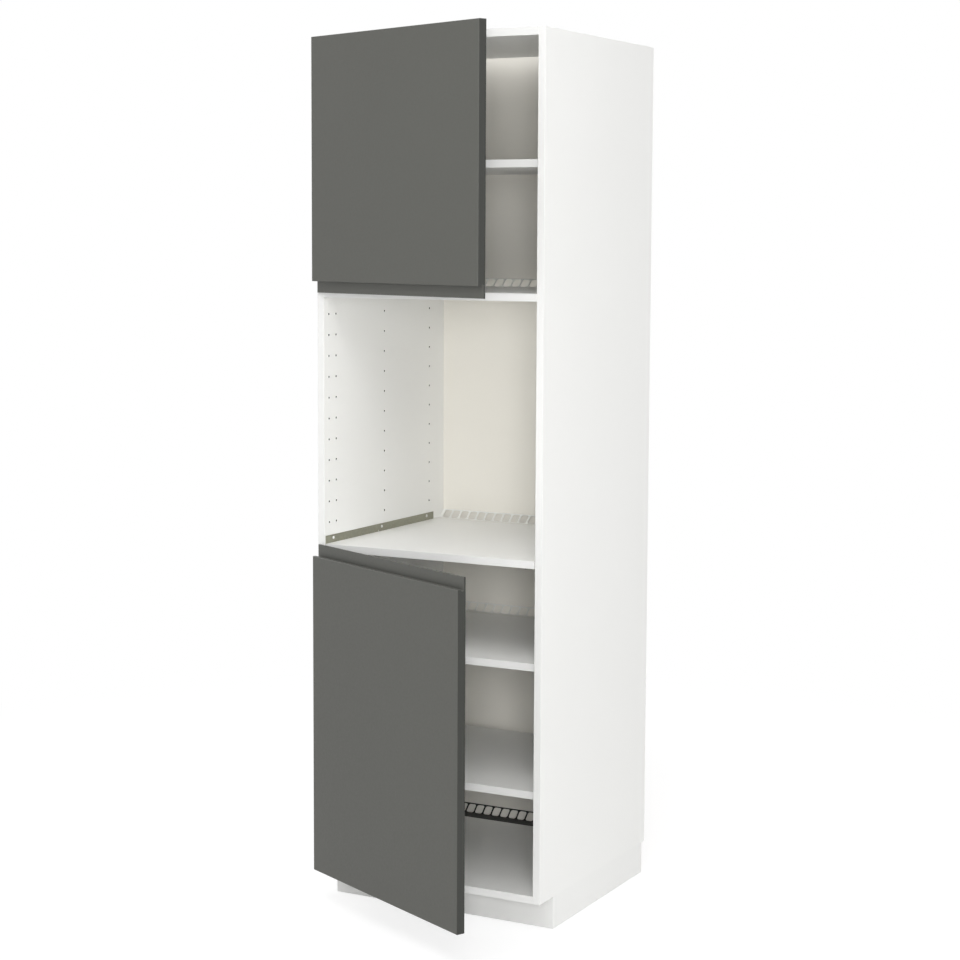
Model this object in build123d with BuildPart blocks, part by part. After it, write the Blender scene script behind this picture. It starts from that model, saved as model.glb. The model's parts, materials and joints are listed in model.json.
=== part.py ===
from build123d import *
import os

# Tall kitchen cabinet for a built-in oven, in millimetres.
# X runs to the right, Y to the back and Z up; the origin is on the floor, under the middle of the carcass.

# Carcass
carcass_width = 600.0
carcass_depth = 600.0
carcass_height = 2000.0
plinth_height = 80.0
board = 18.0
back_thickness = 3.0
back_inset = 10.0            # rear face of the back panel to the rear edge of the sides
back_groove_depth = 8.0
groove_play = 0.1            # play of the back panel in its groove, on each face
groove_end_play = 0.5
vent_depth = 75.0            # top and bottom panels stop this far short of the rear edge
shelf_rear_inset = 63.0      # shelves stop this far short of the rear edge
hole_pitch = 50.0            # rows of system holes, counted from the underside of the carcass
hole_diameter = 5.0
hole_depth = 11.0
hole_sides = 6               # the many small system holes and shelf pins have flat sides
small_sides = 12             # hinge pins, link ends and screw heads
leg_sides = 12
cup_sides = 24
link_runs = 4                # straight runs along the curved link
hole_columns = (22.0, 54.0, 282.0, 510.0)    # distances from the front edge
niche_first_row = 17
niche_rows = 11

# Shelves, by the row of holes at the middle of the loose ones
niche_floor_top = 800.0      # top of the oven shelf above the underside of the carcass
niche_module = 600.0         # share of the carcass height that the niche takes up
niche_reveal = 10.0          # the clear height of the niche is this much less
upper_shelf_drop = 6         # rows under the top of the carcass
middle_shelf_row = 11
lower_shelf_row = 5
loose_shelf_setback = 20.0
loose_shelf_play = 1.0
oven_shelf_setback = 2.0
pin_diameter = 4.8
pin_length = 18.0
pin_pocket_play = 0.4
pin_columns = (54.0, 510.0)

# Steel rails under the oven shelf
rail_thickness = 1.5
rail_rise = 18.5             # upper edge of the rail above the shelf
rail_flange = 28.0
rail_front_gap = 4.3
rail_rear_gap = 69.0
shelf_rail_play = 0.5
rail_screw_columns = (38.0, 266.0, 494.5)
rail_screw_drop = 7.5        # screws sit this far under the rail's upper edge
rail_screw_head = 7.0
rail_screw_head_height = 1.6

# Ventilation grilles
grille_sheet = 1.2
grille_rise = 20.0
grille_slope_run = 23.0
grille_hook = 12.0
grille_side_play = 1.0
slot_pitch = 25.0
slot_width = 20.0
slot_length = 22.0

# Plinth and legs
plinth_board = 16.0
plinth_setback = 78.0
plinth_side_inset = 3.0
plinth_rear_inset = 9.0
plinth_floor_gap = 1.0
leg_to_plinth = 41.0         # leg axis to the inner face of the plinth boards
leg_rear_inset = 135.0
socket_flange_diameter = 62.0
socket_flange_thickness = 8.0
socket_diameter = 34.0
socket_bore = 25.0
socket_bottom = 28.0
foot_diameter = 54.0
foot_pad = 7.0
foot_stem_top = 58.0
foot_running_play = 0.15
clip_wall = 3.0
clip_height = 20.0
clip_bottom = 36.0
clip_pad_width = 34.0
clip_arm_width = 12.0
clip_pad = 3.0

# Wall brackets in the upper rear corners
bracket_sheet = 2.0
bracket_leg = 40.0
bracket_height = 40.0
bracket_hole = 8.0
bracket_drop = 60.0          # hole axis under the top of the carcass

# Doors
door_thickness = 21.0
door_gap = 2.0               # between a closed door and the front of the carcass
door_reveal = 1.5            # gap round each door
door_edge_radius = 1.5
lip_height = 27.0
lip_thickness = 4.4
slab_thickness = 9.0
groove_straight = 0.7        # straight part of the finger groove, ahead of its round bottom
upper_door_angle = 20.7
lower_door_angle = 25.7

# Cup hinges, two on each door; pivots are given with the door closed
upper_hinge_drops = (10, 2)   # rows under the top of the carcass
lower_hinge_rows = (2, 14)
outer_arm_pivot_in = 16.46   # from the inner face of the side panel
outer_arm_pivot_behind = 3.3     # behind the front of the carcass
inner_arm_pivot_in = 40.34
inner_arm_pivot_behind = 2.86
outer_cup_pivot_in = 10.98   # from the hinge edge of the door
outer_cup_pivot_depth = 3.83     # from the back face of the door
inner_cup_pivot_in = 14.65
inner_cup_pivot_depth = 1.62
inner_link_eye_in = 39.5     # open eye of the inner link, which wanders round its arm pivot
inner_link_eye_behind = 3.5
outer_link_ratio = -0.3534   # turn of the link for each degree that the door opens
inner_link_ratio = -0.247
outer_link_bow = 8.98        # rise of the curved link over the line between its pivots
hinge_pin = 2.5
hinge_pin_play = 0.05
open_pivot_play = 1.25       # the inner link's eye on its arm pin
link_eye_wall = 1.3
inner_link_bar = 3.8         # height of the straight bar between the inner link's eyes
outer_link_half = 3.5        # half widths, measured up and down from the hinge's own level
link_side_play = 0.3
inner_link_start = 4.0
inner_link_end = 6.0
arm_start = 6.5
arm_end = 8.0
arm_nose_radius = 3.0
arm_heel_width = 20.0
arm_heel_start = 28.0        # from the front of the carcass to the solid heel of the arm
arm_heel_end = 58.0
plate_sheet = 2.0
plate_start = 14.0
plate_end = 62.0
plate_half = 11.0
plate_corner = 3.5
cup_diameter = 35.0
cup_offset = 21.5            # from the hinge edge of the door to the cup's axis
cup_depth = 13.0
cup_wall = 1.0
cup_flange = 1.0
cup_flange_radius = 19.0
cup_ear_width = 16.0
cup_ear_reach = 31.0
cup_ear_shift = 6.0
cup_boss_end = 9.5
cup_boss_wall = 1.6
cup_notch = 15.0             # gap in the cup's flange that the inner link passes through

# Places worked out from the sizes above
inner_x = carcass_width / 2 - board
front_y = -carcass_depth / 2
rear_y = carcass_depth / 2
base_z = plinth_height
top_z = base_z + carcass_height
mid_z = base_z + carcass_height / 2
back_rear_y = rear_y - back_inset
back_front_y = back_rear_y - back_thickness
panel_rear_y = rear_y - vent_depth
shelf_rear_y = rear_y - shelf_rear_inset
oven_shelf_z = base_z + niche_floor_top
niche_top_z = oven_shelf_z + niche_module - niche_reveal + board
carcass_rows = carcass_height / hole_pitch
upper_shelf_row = carcass_rows - upper_shelf_drop
upper_hinge_rows = [carcass_rows - drop for drop in upper_hinge_drops]
door_back_y = front_y - door_gap
door_left_x = -carcass_width / 2 + door_reveal
door_width = carcass_width - 2 * door_reveal
lower_door_bottom = base_z + door_reveal
lower_door_top = oven_shelf_z - door_reveal
upper_door_top = top_z - door_reveal
upper_door_bottom = oven_shelf_z + niche_module + door_reveal
plinth_front_y = front_y + plinth_setback
plinth_back_y = plinth_front_y + plinth_board
plinth_outer_x = carcass_width / 2 - plinth_side_inset
plinth_inner_x = plinth_outer_x - plinth_board
leg_x = plinth_inner_x - leg_to_plinth
leg_front_y = plinth_back_y + leg_to_plinth
leg_rear_y = rear_y - leg_rear_inset

arm_pivot_outer = Vector(-inner_x + outer_arm_pivot_in, front_y + outer_arm_pivot_behind)
arm_pivot_inner = Vector(-inner_x + inner_arm_pivot_in, front_y + inner_arm_pivot_behind)
door_corner = Vector(door_left_x, door_back_y)
cup_pivot_outer = door_corner + Vector(outer_cup_pivot_in, -outer_cup_pivot_depth)
cup_pivot_inner = door_corner + Vector(inner_cup_pivot_in, -inner_cup_pivot_depth)
inner_link_eye = Vector(-inner_x + inner_link_eye_in, front_y + inner_link_eye_behind)


def row_z(row):
    return base_z + row * hole_pitch


def swung(vector, angle):
    return vector.rotate(Axis.Z, -angle)


def cup_pivot_at(angle):
    return arm_pivot_outer + swung(cup_pivot_outer - arm_pivot_outer, outer_link_ratio * angle)


def door_plane(angle):
    corner = cup_pivot_at(angle) + swung(door_corner - cup_pivot_outer, angle)
    return Plane(origin=corner, x_dir=swung(Vector(1, 0, 0), angle), z_dir=(0, 0, 1))


def inner_face(side, inward=0.0):
    return Plane(origin=(side * (inner_x - inward), 0, 0), x_dir=(0, -side, 0), z_dir=(-side, 0, 0))


def face_point(side, y, z):
    return (-side * y, z)


def write(piece, name):
    piece.label = name
    export_step(piece, f"parts/{name}.step")


os.makedirs("parts", exist_ok=True)

# Side panels: boards with a groove for the back and rows of system holes in the niche
shelf_rows = (upper_shelf_row, middle_shelf_row, lower_shelf_row)
for side, name in ((-1, "left_side_panel"), (1, "right_side_panel")):
    with BuildPart() as side_panel:
        with BuildSketch(inner_face(side)):
            with Locations((0, mid_z)):
                Rectangle(carcass_depth, carcass_height)
        extrude(amount=-board)
        with BuildSketch(inner_face(side)):
            with Locations(face_point(side, back_front_y + back_thickness / 2, mid_z)):
                Rectangle(back_thickness + 2 * groove_play, carcass_height)
        extrude(amount=-back_groove_depth, mode=Mode.SUBTRACT)
        with BuildSketch(inner_face(side)):
            for column in hole_columns:
                for row in range(niche_first_row, niche_first_row + niche_rows):
                    with Locations(face_point(side, front_y + column, row_z(row))):
                        RegularPolygon(hole_diameter / 2, hole_sides, major_radius=False)
            for column in pin_columns:
                for row in shelf_rows:
                    with Locations(face_point(side, front_y + column, row_z(row))):
                        RegularPolygon(hole_diameter / 2, hole_sides, major_radius=False)
        extrude(amount=-hole_depth, mode=Mode.SUBTRACT)
    write(side_panel.part, name)


# Boards that lie between the sides
def lying_board(half_width, near_y, far_y, bottom_z):
    with BuildPart() as lying:
        with BuildSketch(Plane.XY.offset(bottom_z)):
            with Locations((0, (near_y + far_y) / 2)):
                Rectangle(2 * half_width, far_y - near_y)
        extrude(amount=board)
    return lying.part


write(lying_board(inner_x, front_y, panel_rear_y, top_z - board), "top_panel")
write(lying_board(inner_x, front_y, panel_rear_y, base_z), "bottom_panel")
write(lying_board(inner_x, front_y, shelf_rear_y, niche_top_z - board), "niche_top_shelf")

oven_half = inner_x - rail_thickness - shelf_rail_play
oven_front_y = front_y + oven_shelf_setback
write(lying_board(oven_half, oven_front_y, shelf_rear_y, oven_shelf_z - board), "oven_shelf")

# Loose shelves, with pockets in their ends that sit over the shelf pins
loose_half = inner_x - loose_shelf_play
pin_out = pin_length - hole_depth
shelf_names = ("upper_shelf", "middle_shelf", "lower_shelf")
for row, name in zip(shelf_rows, shelf_names):
    shelf_bottom = row_z(row) - board / 2
    pocket_depth = pin_out - loose_shelf_play + pin_pocket_play
    with BuildPart() as loose_shelf:
        with BuildSketch(Plane.XY.offset(shelf_bottom)):
            with Locations((0, (front_y + loose_shelf_setback + shelf_rear_y) / 2)):
                Rectangle(2 * loose_half, shelf_rear_y - front_y - loose_shelf_setback)
        extrude(amount=board)
        with BuildSketch(Plane.XY.offset(shelf_bottom)):
            for side in (-1, 1):
                for column in pin_columns:
                    with Locations((side * (loose_half - pocket_depth / 2), front_y + column)):
                        Rectangle(pocket_depth, pin_diameter + 2 * pin_pocket_play)
        extrude(amount=board / 2 + pin_diameter / 2, mode=Mode.SUBTRACT)
    write(loose_shelf.part, name)

# Shelf pins, four for each loose shelf
with BuildPart() as shelf_pins:
    for side in (-1, 1):
        with BuildSketch(inner_face(side, -hole_depth)):
            for row in shelf_rows:
                for column in pin_columns:
                    with Locations(face_point(side, front_y + column, row_z(row))):
                        RegularPolygon(pin_diameter / 2, hole_sides, major_radius=False)
        extrude(amount=pin_length)
write(shelf_pins.part, "shelf_pins")

# Back panel, in the grooves of the sides, with holes for the wall screws
bracket_hole_x = inner_x - bracket_leg / 2
bracket_z = top_z - bracket_drop
with BuildPart() as back_panel:
    with BuildSketch(Plane.XZ.offset(-back_rear_y)):
        with Locations((0, mid_z)):
            Rectangle(2 * (inner_x + back_groove_depth - groove_end_play), carcass_height)
        with Locations((-bracket_hole_x, bracket_z), (bracket_hole_x, bracket_z)):
            Circle(bracket_hole / 2, mode=Mode.SUBTRACT)
    extrude(amount=back_thickness)
write(back_panel.part, "back_panel")

# Wall brackets: bent steel angles against a side panel and the back panel
with BuildPart() as wall_brackets:
    with BuildSketch(Plane.XY.offset(bracket_z - bracket_height / 2)):
        for side in (-1, 1):
            with BuildLine():
                Polyline(
                    (side * inner_x, back_front_y),
                    (side * (inner_x - bracket_leg), back_front_y),
                    (side * (inner_x - bracket_leg), back_front_y - bracket_sheet),
                    (side * (inner_x - bracket_sheet), back_front_y - bracket_sheet),
                    (side * (inner_x - bracket_sheet), back_front_y - bracket_leg),
                    (side * inner_x, back_front_y - bracket_leg),
                    close=True,
                )
            make_face()
    extrude(amount=bracket_height)
    with BuildSketch(Plane.XZ.offset(-back_front_y)):
        with Locations((-bracket_hole_x, bracket_z), (bracket_hole_x, bracket_z)):
            Circle(bracket_hole / 2)
    extrude(amount=bracket_sheet, mode=Mode.SUBTRACT)
write(wall_brackets.part, "wall_brackets")

# Steel angle rails that carry the oven shelf
rail_bottom = oven_shelf_z - board - rail_thickness
rail_top = oven_shelf_z + rail_rise
rail_front_y = front_y + rail_front_gap
rail_length = rear_y - rail_rear_gap - rail_front_y
for side, name in ((-1, "oven_rail_left"), (1, "oven_rail_right")):
    with BuildPart() as oven_rail:
        with BuildSketch(Plane.XZ.offset(-rail_front_y)):
            with BuildLine():
                Polyline(
                    (side * inner_x, rail_bottom),
                    (side * inner_x, rail_top),
                    (side * (inner_x - rail_thickness), rail_top),
                    (side * (inner_x - rail_thickness), rail_bottom + rail_thickness),
                    (side * (inner_x - rail_flange), rail_bottom + rail_thickness),
                    (side * (inner_x - rail_flange), rail_bottom),
                    close=True,
                )
            make_face()
        extrude(amount=-rail_length)
    write(oven_rail.part, name)

# Heads of the screws that hold the rails
with BuildPart() as rail_screws:
    for side in (-1, 1):
        with BuildSketch(inner_face(side, rail_thickness)):
            for column in rail_screw_columns:
                with Locations(face_point(side, front_y + column, rail_top - rail_screw_drop)):
                    RegularPolygon(rail_screw_head / 2, small_sides)
        extrude(amount=rail_screw_head_height)
write(rail_screws.part, "rail_screws")

# Ventilation grilles: a bent sheet hooked on the rear edge of a board, with a sloping slotted face
grille_width = 2 * (inner_x - grille_side_play)
slot_count = int(grille_width // slot_pitch)


def grille(edge_y, surface_z):
    bend = Vector(0, back_front_y - grille_slope_run, surface_z - grille_sheet / 2)
    crest = Vector(0, back_front_y - grille_sheet, surface_z + grille_rise)
    across = Vector(1, 0, 0)
    slope_face = Plane(origin=(bend + crest) / 2, x_dir=across, z_dir=(crest - bend).cross(across))
    with BuildPart() as vent:
        with BuildSketch(Plane.YZ.offset(-grille_width / 2)):
            with BuildLine():
                spine = Polyline(
                    (edge_y + grille_sheet / 2, surface_z - grille_hook),
                    (edge_y + grille_sheet / 2, bend.Z),
                    (bend.Y, bend.Z),
                    (crest.Y, crest.Z),
                )
                offset(spine, amount=grille_sheet / 2, side=Side.BOTH, kind=Kind.INTERSECTION)
            make_face()
        extrude(amount=grille_width)
        with BuildSketch(slope_face):
            with GridLocations(slot_pitch, 0, slot_count, 1):
                Rectangle(slot_width, slot_length)
        extrude(amount=2 * grille_sheet, both=True, mode=Mode.SUBTRACT)
    return vent.part


for edge_y, surface_z, name in (
    (shelf_rear_y, niche_top_z, "niche_top_grille"),
    (shelf_rear_y, oven_shelf_z, "oven_shelf_grille"),
    (shelf_rear_y, row_z(middle_shelf_row) + board / 2, "middle_shelf_grille"),
    (panel_rear_y, base_z + board, "bottom_grille"),
):
    write(grille(edge_y, surface_z), name)


# Plinth boards, standing behind the front edge and just inside the sides
def plinth_piece(near_x, far_x, near_y, far_y):
    with BuildPart() as plinth:
        with BuildSketch(Plane.XY.offset(plinth_floor_gap)):
            with Locations(((near_x + far_x) / 2, (near_y + far_y) / 2)):
                Rectangle(far_x - near_x, far_y - near_y)
        extrude(amount=base_z - plinth_floor_gap)
    return plinth.part


plinth_rear_y = rear_y - plinth_rear_inset
write(plinth_piece(-plinth_outer_x, plinth_outer_x, plinth_front_y, plinth_back_y), "plinth_front")
write(plinth_piece(-plinth_outer_x, -plinth_inner_x, plinth_back_y, plinth_rear_y), "plinth_left")
write(plinth_piece(plinth_inner_x, plinth_outer_x, plinth_back_y, plinth_rear_y), "plinth_right")

# Legs: a flanged socket under the bottom panel and a foot whose stem runs in it
leg_places = {
    "front_left": (-leg_x, leg_front_y),
    "front_right": (leg_x, leg_front_y),
    "rear_left": (-leg_x, leg_rear_y),
    "rear_right": (leg_x, leg_rear_y),
}
socket_ceiling = base_z - socket_flange_thickness
with BuildPart() as leg_sockets:
    with BuildSketch(Plane.XY.offset(socket_bottom)):
        with Locations(*leg_places.values()):
            RegularPolygon(socket_diameter / 2, leg_sides, major_radius=False)
    extrude(amount=base_z - socket_bottom)
    with BuildSketch(Plane.XY.offset(socket_ceiling)):
        with Locations(*leg_places.values()):
            RegularPolygon(socket_flange_diameter / 2, leg_sides, major_radius=False)
    extrude(amount=socket_flange_thickness)
    with BuildSketch(Plane.XY.offset(socket_bottom)):
        with Locations(*leg_places.values()):
            RegularPolygon(socket_bore / 2, leg_sides, major_radius=False)
    extrude(amount=socket_ceiling - socket_bottom, mode=Mode.SUBTRACT)
write(leg_sockets.part, "leg_sockets")

stem_radius = socket_bore / 2 - foot_running_play
for corner, (x, y) in leg_places.items():
    with BuildPart() as foot:
        with BuildSketch():
            with Locations((x, y)):
                Circle(foot_diameter / 2)
        extrude(amount=foot_pad)
        with BuildSketch(Plane.XY.offset(foot_pad)):
            with Locations((x, y)):
                RegularPolygon(stem_radius, leg_sides, major_radius=False)
        extrude(amount=foot_stem_top - foot_pad)
    write(foot.part, f"foot_{corner}")

# Plinth clips: an open ring on the leg socket and a pad against the plinth board
clip_faces = {"front_left": (0, -1), "front_right": (0, -1), "rear_left": (-1, 0), "rear_right": (1, 0)}
clip_arm = leg_to_plinth - clip_pad
clip_radius = socket_diameter / 2 + clip_wall
with BuildPart() as plinth_clips:
    for corner, (x, y) in leg_places.items():
        facing = clip_faces[corner]
        with BuildSketch(Plane(origin=(x, y, clip_bottom), x_dir=(*facing, 0), z_dir=(0, 0, 1))):
            RegularPolygon(clip_radius, leg_sides, major_radius=False)
            with Locations((clip_arm / 2, 0)):
                Rectangle(clip_arm, clip_arm_width)
            with Locations((leg_to_plinth - clip_pad / 2, 0)):
                Rectangle(clip_pad, clip_pad_width)
            RegularPolygon(socket_diameter / 2, leg_sides, major_radius=False, mode=Mode.SUBTRACT)
            with Locations((-clip_radius, 0)):
                Rectangle(clip_radius, clip_radius, mode=Mode.SUBTRACT)
        extrude(amount=clip_height)
write(plinth_clips.part, "plinth_clips")


# Doors: a thick slab whose front stops short at one edge, leaving a finger groove and a thin lip
def door(angle, lip_z, plain_z, hinge_rows):
    place = door_plane(angle)
    inward = 1 if plain_z > lip_z else -1
    slab_z = lip_z + inward * lip_height
    groove_radius = (door_thickness - slab_thickness - lip_thickness) / 2
    groove_y = -lip_thickness - groove_radius
    arc_z = slab_z + inward * groove_straight
    across = Plane(origin=place.origin, x_dir=place.y_dir, z_dir=place.x_dir)
    into = Plane(origin=place.origin, x_dir=place.x_dir, z_dir=-place.y_dir)
    with BuildPart() as leaf:
        with BuildSketch(across):
            with BuildLine():
                Polyline(
                    (-lip_thickness, arc_z),
                    (-lip_thickness, lip_z),
                    (0, lip_z),
                    (0, plain_z),
                    (-door_thickness, plain_z),
                    (-door_thickness, slab_z),
                    (groove_y - groove_radius, slab_z),
                    (groove_y - groove_radius, arc_z),
                )
                ThreePointArc(
                    (groove_y - groove_radius, arc_z),
                    (groove_y, arc_z + inward * groove_radius),
                    (-lip_thickness, arc_z),
                )
            make_face()
        extrude(amount=door_width)
        front_face = leaf.faces().sort_by(Axis(place.origin, -place.y_dir))[-1]
        fillet(front_face.edges(), door_edge_radius)
        with BuildSketch(into):
            for row in hinge_rows:
                with Locations((cup_offset, row_z(row))):
                    RegularPolygon(cup_diameter / 2, cup_sides)
        extrude(amount=cup_depth, mode=Mode.SUBTRACT)
    return leaf.part


# Cup hinges: cups in the door, arms on plates in the cabinet, and two links between them
def hinge_cups(angle, hinge_rows):
    place = door_plane(angle)
    into = Plane(origin=place.origin, x_dir=place.x_dir, z_dir=-place.y_dir)
    outer_pin = (outer_cup_pivot_in, -outer_cup_pivot_depth)
    inner_pin = (inner_cup_pivot_in, -inner_cup_pivot_depth)
    boss_radius = hinge_pin / 2 + cup_boss_wall
    with BuildPart() as cups:
        for row in hinge_rows:
            level = row_z(row)
            with BuildSketch(into):
                with Locations((cup_offset, level)):
                    RegularPolygon(cup_diameter / 2, cup_sides)
            extrude(amount=cup_depth)
            with BuildSketch(into):
                with Locations((cup_offset, level)):
                    RegularPolygon(cup_flange_radius, cup_sides)
                with Locations((cup_offset + cup_ear_shift, level)):
                    Rectangle(cup_ear_width, 2 * cup_ear_reach)
                with Locations((cup_offset + cup_flange_radius, level)):
                    Rectangle(cup_notch, cup_notch, mode=Mode.SUBTRACT)
            extrude(amount=-cup_flange)
            with BuildSketch(into.offset(-cup_flange)):
                with Locations((cup_offset, level)):
                    RegularPolygon(cup_diameter / 2 - cup_wall, cup_sides)
            extrude(amount=cup_flange + cup_depth - cup_wall, mode=Mode.SUBTRACT)
            for start, end in ((arm_start, cup_boss_end), (-cup_boss_end, -arm_start)):
                with BuildSketch(place.offset(level + start)):
                    with Locations(outer_pin, inner_pin, (outer_cup_pivot_in, boss_radius - cup_depth)):
                        RegularPolygon(boss_radius, small_sides)
                    make_hull()
                extrude(amount=end - start)
            with BuildSketch(place.offset(level - arm_start)):
                with Locations(outer_pin):
                    RegularPolygon(hinge_pin / 2, small_sides)
            extrude(amount=2 * arm_start)
            for start in (outer_link_half + link_side_play, -arm_start):
                with BuildSketch(place.offset(level + start)):
                    with Locations(inner_pin):
                        RegularPolygon(hinge_pin / 2, small_sides)
                extrude(amount=arm_start - outer_link_half - link_side_play)
    return cups.part


def hinge_arms(hinge_rows):
    heel_x = -inner_x + plate_sheet + arm_heel_width / 2
    heel_y = front_y + (arm_heel_start + arm_heel_end) / 2
    channel_y = front_y + arm_heel_start - arm_heel_end / 2
    with BuildPart() as arms:
        for row in hinge_rows:
            level = row_z(row)
            with BuildSketch(Plane.XY.offset(level - arm_end)):
                with Locations(arm_pivot_outer, arm_pivot_inner):
                    RegularPolygon(arm_nose_radius, small_sides)
                with Locations((heel_x, heel_y)):
                    Rectangle(arm_heel_width, arm_heel_end - arm_heel_start)
                make_hull()
            extrude(amount=2 * arm_end)
            with BuildSketch(Plane.XY.offset(level - arm_start)):
                with Locations((heel_x, channel_y)):
                    Rectangle(2 * arm_heel_end, arm_heel_end)
            extrude(amount=2 * arm_start, mode=Mode.SUBTRACT)
            with BuildSketch(Plane.XY.offset(level - arm_start)):
                with Locations(arm_pivot_outer, arm_pivot_inner):
                    RegularPolygon(hinge_pin / 2, small_sides)
            extrude(amount=2 * arm_start)
    return arms.part


def hinge_plates(hinge_rows):
    with BuildPart() as plates:
        with BuildSketch(inner_face(-1)) as outline:
            for row in hinge_rows:
                with Locations(face_point(-1, front_y + (plate_start + plate_end) / 2, row_z(row))):
                    Rectangle(plate_end - plate_start, 2 * plate_half)
            chamfer(outline.vertices(), plate_corner)
        extrude(amount=plate_sheet)
    return plates.part


def outer_links(angle, hinge_rows):
    reach = cup_pivot_outer - arm_pivot_outer
    bow = reach / 2 + Vector(-reach.Y, reach.X).normalized() * outer_link_bow
    bow_point = arm_pivot_outer + swung(bow, outer_link_ratio * angle)
    far_pivot = cup_pivot_at(angle)
    bore_radius = hinge_pin / 2 + hinge_pin_play
    with BuildLine() as curve:
        ThreePointArc(arm_pivot_outer, bow_point, far_pivot)
    bends = [curve.edge() @ (run / link_runs) for run in range(link_runs + 1)]
    with BuildPart() as links:
        for row in hinge_rows:
            with BuildSketch(Plane.XY.offset(row_z(row) - outer_link_half)):
                with BuildLine():
                    spine = Polyline(*bends)
                    offset(spine, amount=bore_radius + link_eye_wall, side=Side.BOTH, kind=Kind.INTERSECTION)
                make_face()
                with Locations(arm_pivot_outer, far_pivot):
                    RegularPolygon(bore_radius + link_eye_wall, small_sides)
                with Locations(arm_pivot_outer, far_pivot):
                    Circle(bore_radius, mode=Mode.SUBTRACT)
            extrude(amount=2 * outer_link_half)
    return links.part


def inner_links(angle, hinge_rows):
    near_pivot = cup_pivot_at(angle) + swung(cup_pivot_inner - cup_pivot_outer, angle)
    far_pivot = near_pivot + swung(inner_link_eye - cup_pivot_inner, inner_link_ratio * angle)
    bore_radius = hinge_pin / 2 + hinge_pin_play
    open_radius = hinge_pin / 2 + open_pivot_play
    with BuildPart() as links:
        for row in hinge_rows:
            for start in (inner_link_start, -inner_link_end):
                with BuildSketch(Plane.XY.offset(row_z(row) + start)):
                    with Locations(near_pivot, far_pivot):
                        RegularPolygon(inner_link_bar / 2, small_sides)
                    make_hull()
                    with Locations(near_pivot):
                        RegularPolygon(bore_radius + link_eye_wall, small_sides)
                        Circle(bore_radius, mode=Mode.SUBTRACT)
                    with Locations(far_pivot):
                        RegularPolygon(open_radius + link_eye_wall, small_sides)
                        RegularPolygon(open_radius, small_sides, major_radius=False, mode=Mode.SUBTRACT)
                extrude(amount=inner_link_end - inner_link_start)
    return links.part


for name, angle, lip_z, plain_z, hinge_rows in (
    ("upper", upper_door_angle, upper_door_bottom, upper_door_top, upper_hinge_rows),
    ("lower", lower_door_angle, lower_door_top, lower_door_bottom, lower_hinge_rows),
):
    write(door(angle, lip_z, plain_z, hinge_rows), f"{name}_door")
    write(hinge_cups(angle, hinge_rows), f"{name}_hinge_cups")
    write(hinge_arms(hinge_rows), f"{name}_hinge_arms")
    write(hinge_plates(hinge_rows), f"{name}_hinge_plates")
    write(outer_links(angle, hinge_rows), f"{name}_hinge_outer_links")
    write(inner_links(angle, hinge_rows), f"{name}_hinge_inner_links")
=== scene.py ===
import bpy
import json
import math
from mathutils import Matrix, Vector


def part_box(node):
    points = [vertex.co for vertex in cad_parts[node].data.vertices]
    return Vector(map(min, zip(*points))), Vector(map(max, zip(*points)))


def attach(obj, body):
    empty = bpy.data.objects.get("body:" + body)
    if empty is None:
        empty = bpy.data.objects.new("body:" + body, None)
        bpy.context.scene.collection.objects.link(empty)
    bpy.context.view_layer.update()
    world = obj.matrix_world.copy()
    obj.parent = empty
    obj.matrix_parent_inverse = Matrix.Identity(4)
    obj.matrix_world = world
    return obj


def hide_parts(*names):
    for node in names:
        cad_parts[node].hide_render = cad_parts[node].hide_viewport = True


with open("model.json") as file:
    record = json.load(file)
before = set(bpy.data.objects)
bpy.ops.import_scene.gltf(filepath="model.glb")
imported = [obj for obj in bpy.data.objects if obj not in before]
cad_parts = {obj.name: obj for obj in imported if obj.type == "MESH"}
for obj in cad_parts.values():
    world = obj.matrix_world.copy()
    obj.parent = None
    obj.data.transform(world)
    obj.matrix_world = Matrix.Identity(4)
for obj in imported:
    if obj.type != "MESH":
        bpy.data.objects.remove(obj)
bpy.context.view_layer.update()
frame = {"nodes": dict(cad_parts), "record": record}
nodes = frame["nodes"]
slotOf = {entry["node"]: entry["material_slot"] for entry in frame["record"]["subparts"]}
scene = bpy.context.scene
print("frame loaded:", len(nodes), "nodes")

# values that several pieces share, in metres and degrees
doorTurns = {"upper": 20.7, "lower": 25.7}    # how far the doors stand open at rest
pinColumns = (-0.246, 0.210)
touch = 0.0001    # places closer than this count as one
limits = {
    "sliver": 0.000005,    # slivers left by cuts and bevels are merged below this
    "seam": 0.00001,    # where a turned shape meets itself
    "double": 0.000001,    # equal points of a CAD mesh
    "flat": 1,    # faces that turn less than this become one
    "rounded": 30,    # edges that turn more are bevelled
    "eased": 50,    # the same for the pieces made from CAD meshes
    "shaded": 40,    # edges that turn less are shaded smooth
}
white = (1, 1, 1, 1)


def camelName(node):
    first, *others = node.split("_")
    return first + "".join(word.title() for word in others)


# shader helpers
def addNode(tree, kind, values=None, **settings):
    made = tree.nodes.new(kind)
    for key, value in settings.items():
        setattr(made, key, value)
    for socket, value in (values or {}).items():
        made.inputs[socket].default_value = value
    return made


def newMaterial(name):
    material = bpy.data.materials.new(name)
    material.use_nodes = True
    tree = material.node_tree
    spot = addNode(tree, "ShaderNodeTexCoord").outputs
    return material, tree, tree.nodes["Principled BSDF"], spot


def mixTones(tree, mask, under, over):
    made = addNode(tree, "ShaderNodeMix", data_type="RGBA")
    tree.links.new(mask, made.inputs["Factor"])
    tree.links.new(under, made.inputs["A"])
    tree.links.new(over, made.inputs["B"])
    return made.outputs["Result"]


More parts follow.
